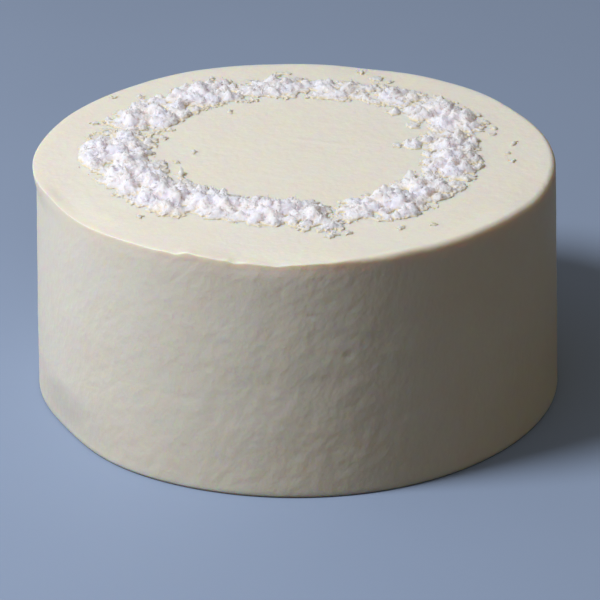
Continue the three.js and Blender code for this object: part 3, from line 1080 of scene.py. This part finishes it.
def coconut_material(name, settings, loose):
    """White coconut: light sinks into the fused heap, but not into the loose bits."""
    material, tree, shader = new_material(name)
    link = tree.links.new
    tone = add_node(tree, "ShaderNodeAttribute", attribute_name="tone")
    plain_colour = blend_colours(tree, add_drift(tree, DRIFT_PATCH, 0.3), settings.colour, settings.warm_colour)
    # painted shade: the tone mixes in the deep colour, a warm shade on the heap next to the icing and in its
    # hollows, and a random tone on the loose bits
    colour = tree.nodes.new("ShaderNodeMix")
    colour.data_type = "RGBA"
    colour.inputs["A"].default_value = (*settings.deep_and_shade_colour, 1)
    link(tone.outputs["Fac"], colour.inputs["Factor"])
    link(plain_colour, colour.inputs["B"])
    link(colour.outputs["Result"], shader.inputs["Base Color"])
    vary(tree, add_drift(tree, GLOSS_PATCH, 0.6), shader.inputs["Roughness"], 0.5, 0.75)
    shader.inputs["Specular IOR Level"].default_value = 0.15
    if loose:
        shader.inputs["Subsurface Weight"].default_value = 0
    else:
        vary(tree, tone.outputs["Fac"], shader.inputs["Subsurface Weight"], 0.05, 1.0)
    shader.inputs["Subsurface Radius"].default_value = (1.0, 0.85, 0.88)
    shader.inputs["Subsurface Scale"].default_value = 8 * MM
    fibre = add_node(tree, "ShaderNodeTexNoise", scale=1 / FIBRE_SIZE, detail=2.0)
    bump = tree.nodes.new("ShaderNodeBump")
    bump.inputs["Strength"].default_value = 0.15
    bump.inputs["Distance"].default_value = 0.1 * MM
    place = tree.nodes.new("ShaderNodeTexCoord")
    link(place.outputs["Object"], fibre.inputs["Vector"])
    link(fibre.outputs["Fac"], bump.inputs["Height"])
    link(bump.outputs["Normal"], shader.inputs["Normal"])
    return material


class CAKE_OT_scatter_coconut(bpy.types.Operator):
    """Heaps flakes in a ring and beside it, fused to one skin, then lays loose chips and shreds on it"""

    bl_idname = "cake.scatter_coconut"
    bl_label = "Scatter Coconut"

    def execute(self, context):
        settings = context.scene.cake_coconut
        top = context.scene.cake_icing.height
        rng = np.random.default_rng(settings.seed)
        alone = on_top(*np.array(STRAYS).T)
        heap = Heap(rng, settings.tufts, alone)
        alone = np.repeat(alone, STRAY_BITS, axis=0)
        alone = alone + rng.normal(0, STRAY_SPREAD, alone.shape)
        places = np.vstack((fall_places(rng, settings.flakes, cover), alone))
        core = joined_bits(rng, FLAKE, lay_bits(rng, FLAKE, places, heap, heap.ground, top))
        fused_heap(packed_bed(heap, top), core, heap, top)
        core.data.materials.append(coconut_material("packed_coconut", settings, loose=False))
        skin = skin_height(core, top)
        loose_material = coconut_material("loose_coconut", settings, loose=True)
        pieces = [core]
        for kind, count in ((CHIP, settings.chips), (SHRED, settings.shreds)):
            places = fall_places(rng, count, cover)
            piece = joined_bits(rng, kind, lay_bits(rng, kind, places, heap, skin, top))
            piece.data.materials.append(loose_material)
            pieces.append(piece)
        for piece in pieces:
            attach(piece, BODY)
            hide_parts(CAKE_NODE)
        return {"FINISHED"}


# Stage

FLOOR_SIZE = 20  # metres, so that it reaches past the picture
FLOOR_PATCH, FLOOR_PALER = 0.4, 1.04  # size of the floor's paler patches in metres, and how pale they are
SKY_EDGE = 0.7  # how far towards the key, from -1 to 1, the sky is fully bright
DUSK_PLACE = 0.5  # of the middle colour between the two sides of the sky


def floor_material(settings):
    """A pale floor that gives light back to the cake only on the side of the key."""
    material, tree, shader = new_material("pale_floor")
    link = tree.links.new
    mask = add_drift(tree, FLOOR_PATCH, 0.2)
    paler = [FLOOR_PALER * value for value in settings.floor_colour]
    seen = blend_colours(tree, mask, settings.floor_colour, paler)
    place = tree.nodes.new("ShaderNodeTexCoord")
    towards_key = add_node(tree, "ShaderNodeVectorMath", operation="DOT_PRODUCT")
    towards_key.inputs[1].default_value = polar(1, settings.key_azimuth, 0, (0, 0, 0))
    lit = tree.nodes.new("ShaderNodeMapRange")
    lit.inputs["From Min"].default_value = settings.bounce_from
    lit.inputs["From Max"].default_value = settings.bounce_to
    given = blend_colours(tree, lit.outputs["Result"], settings.dim_bounce, settings.bounce_colour)
    path = tree.nodes.new("ShaderNodeLightPath")
    either = tree.nodes.new("ShaderNodeMix")
    either.data_type = "RGBA"
    link(place.outputs["Object"], towards_key.inputs[0])
    link(towards_key.outputs["Value"], lit.inputs["Value"])
    link(path.outputs["Is Diffuse Ray"], either.inputs["Factor"])
    link(seen, either.inputs["A"])
    link(given, either.inputs["B"])
    link(either.outputs["Result"], shader.inputs["Base Color"])
    vary(tree, mask, shader.inputs["Roughness"], 0.5, 0.6)
    shader.inputs["Specular IOR Level"].default_value = 0.3
    return material


def lay_floor(settings):
    """Lays the floor that the cake stands on."""
    begin_piece()
    bpy.ops.mesh.primitive_plane_add(size=FLOOR_SIZE)
    floor = bpy.context.object
    floor.name = floor.data.name = "floor"
    floor.data.materials.append(floor_material(settings))


def polar(distance, azimuth, elevation, centre):
    """The point at a distance from the centre, in a direction given by two angles."""
    level = distance * math.cos(elevation)
    offset = (level * math.cos(azimuth), level * math.sin(azimuth), distance * math.sin(elevation))
    return Vector(centre) + Vector(offset)


def light_stage(settings, centre):
    """Sets the main light and a soft sky that is brighter on its side."""
    begin_piece()
    place = polar(settings.key_distance, settings.key_azimuth, settings.key_elevation, centre)
    bpy.ops.object.light_add(type="AREA", location=place)
    key = bpy.context.object
    key.name = key.data.name = "key_light"
    key.rotation_euler = (Vector(centre) - place).to_track_quat("-Z", "Y").to_euler()
    key.data.shape = "DISK"
    key.data.size = settings.key_size
    key.data.energy = settings.key_power
    key.data.color = settings.key_colour
    world = bpy.data.worlds.new("soft_sky")
    world.use_nodes = True
    tree = world.node_tree
    sight = tree.nodes.new("ShaderNodeTexCoord")
    towards_key = add_node(tree, "ShaderNodeVectorMath", operation="DOT_PRODUCT")
    towards_key.inputs[1].default_value = polar(1, settings.key_azimuth, settings.sky_lean, (0, 0, 0))
    lit = tree.nodes.new("ShaderNodeMapRange")
    lit.inputs["From Min"].default_value = -SKY_EDGE
    lit.inputs["From Max"].default_value = SKY_EDGE
    colours = tree.nodes.new("ShaderNodeValToRGB")
    stops = colours.color_ramp.elements
    stops.new(DUSK_PLACE)
    for stop, colour in zip(stops, (settings.shade_colour, settings.dusk_colour, settings.sky_colour)):
        stop.color = (*colour, 1)
    tree.links.new(sight.outputs["Generated"], towards_key.inputs[0])
    tree.links.new(towards_key.outputs["Value"], lit.inputs["Value"])
    tree.links.new(lit.outputs["Result"], colours.inputs["Fac"])
    tree.links.new(colours.outputs["Color"], tree.nodes["Background"].inputs["Color"])
    bpy.context.scene.world = world


def place_camera(settings, centre):
    """Stands the camera at the photograph's angle."""
    place = polar(settings.camera_distance, -math.pi / 2, settings.camera_elevation, centre)
    ahead = (Vector(settings.camera_aim) - place).normalized()
    side = ahead.cross(Vector((0, 0, 1))).normalized()
    turned = Matrix((side, side.cross(ahead), -ahead)).transposed()
    begin_piece()
    bpy.ops.object.camera_add()
    camera = bpy.context.object
    camera.name = camera.data.name = "photo_camera"
    level = Matrix.Translation(place) @ turned.to_4x4()
    camera.matrix_world = level @ Matrix.Rotation(settings.camera_roll, 4, "Z")
    camera.data.lens = settings.lens
    bpy.context.scene.camera = camera


class CAKE_OT_set_stage(bpy.types.Operator):
    """Lays the floor, sets the lights and places the camera"""

    bl_idname = "cake.set_stage"
    bl_label = "Set Stage"

    def execute(self, context):
        settings = context.scene.cake_stage
        centre = (0, 0, context.scene.cake_icing.height / 2)
        lay_floor(settings)
        light_stage(settings, centre)
        place_camera(settings, centre)
        context.scene.view_settings.view_transform = "Standard"
        return {"FINISHED"}


class CAKE_PT_sidebar(bpy.types.Panel):
    """Steps and settings of the cake"""

    bl_idname = "CAKE_PT_sidebar"
    bl_label = "Iced Cake"
    bl_space_type = "VIEW_3D"
    bl_region_type = "UI"
    bl_category = "Cake"

    def draw(self, context):
        steps = (
            (CAKE_OT_spread_icing, context.scene.cake_icing),
            (CAKE_OT_scatter_coconut, context.scene.cake_coconut),
            (CAKE_OT_set_stage, context.scene.cake_stage),
        )
        for step, settings in steps:
            box = self.layout.box()
            box.operator(step.bl_idname)
            for name in settings.__annotations__:
                box.prop(settings, name)


CLASSES = (
    IcingSettings,
    CoconutSettings,
    StageSettings,
    CAKE_OT_spread_icing,
    CAKE_OT_scatter_coconut,
    CAKE_OT_set_stage,
    CAKE_PT_sidebar,
)


def register():
    for cls in CLASSES:
        bpy.utils.register_class(cls)
    bpy.types.Scene.cake_icing = PointerProperty(type=IcingSettings)
    bpy.types.Scene.cake_coconut = PointerProperty(type=CoconutSettings)
    bpy.types.Scene.cake_stage = PointerProperty(type=StageSettings)


def unregister():
    del bpy.types.Scene.cake_stage
    del bpy.types.Scene.cake_coconut
    del bpy.types.Scene.cake_icing
    for cls in reversed(CLASSES):
        bpy.utils.unregister_class(cls)


def main():
    register()
    bpy.ops.cake.spread_icing()
    bpy.ops.cake.scatter_coconut()
    bpy.ops.cake.set_stage()


if __name__ == "__main__":
    main()
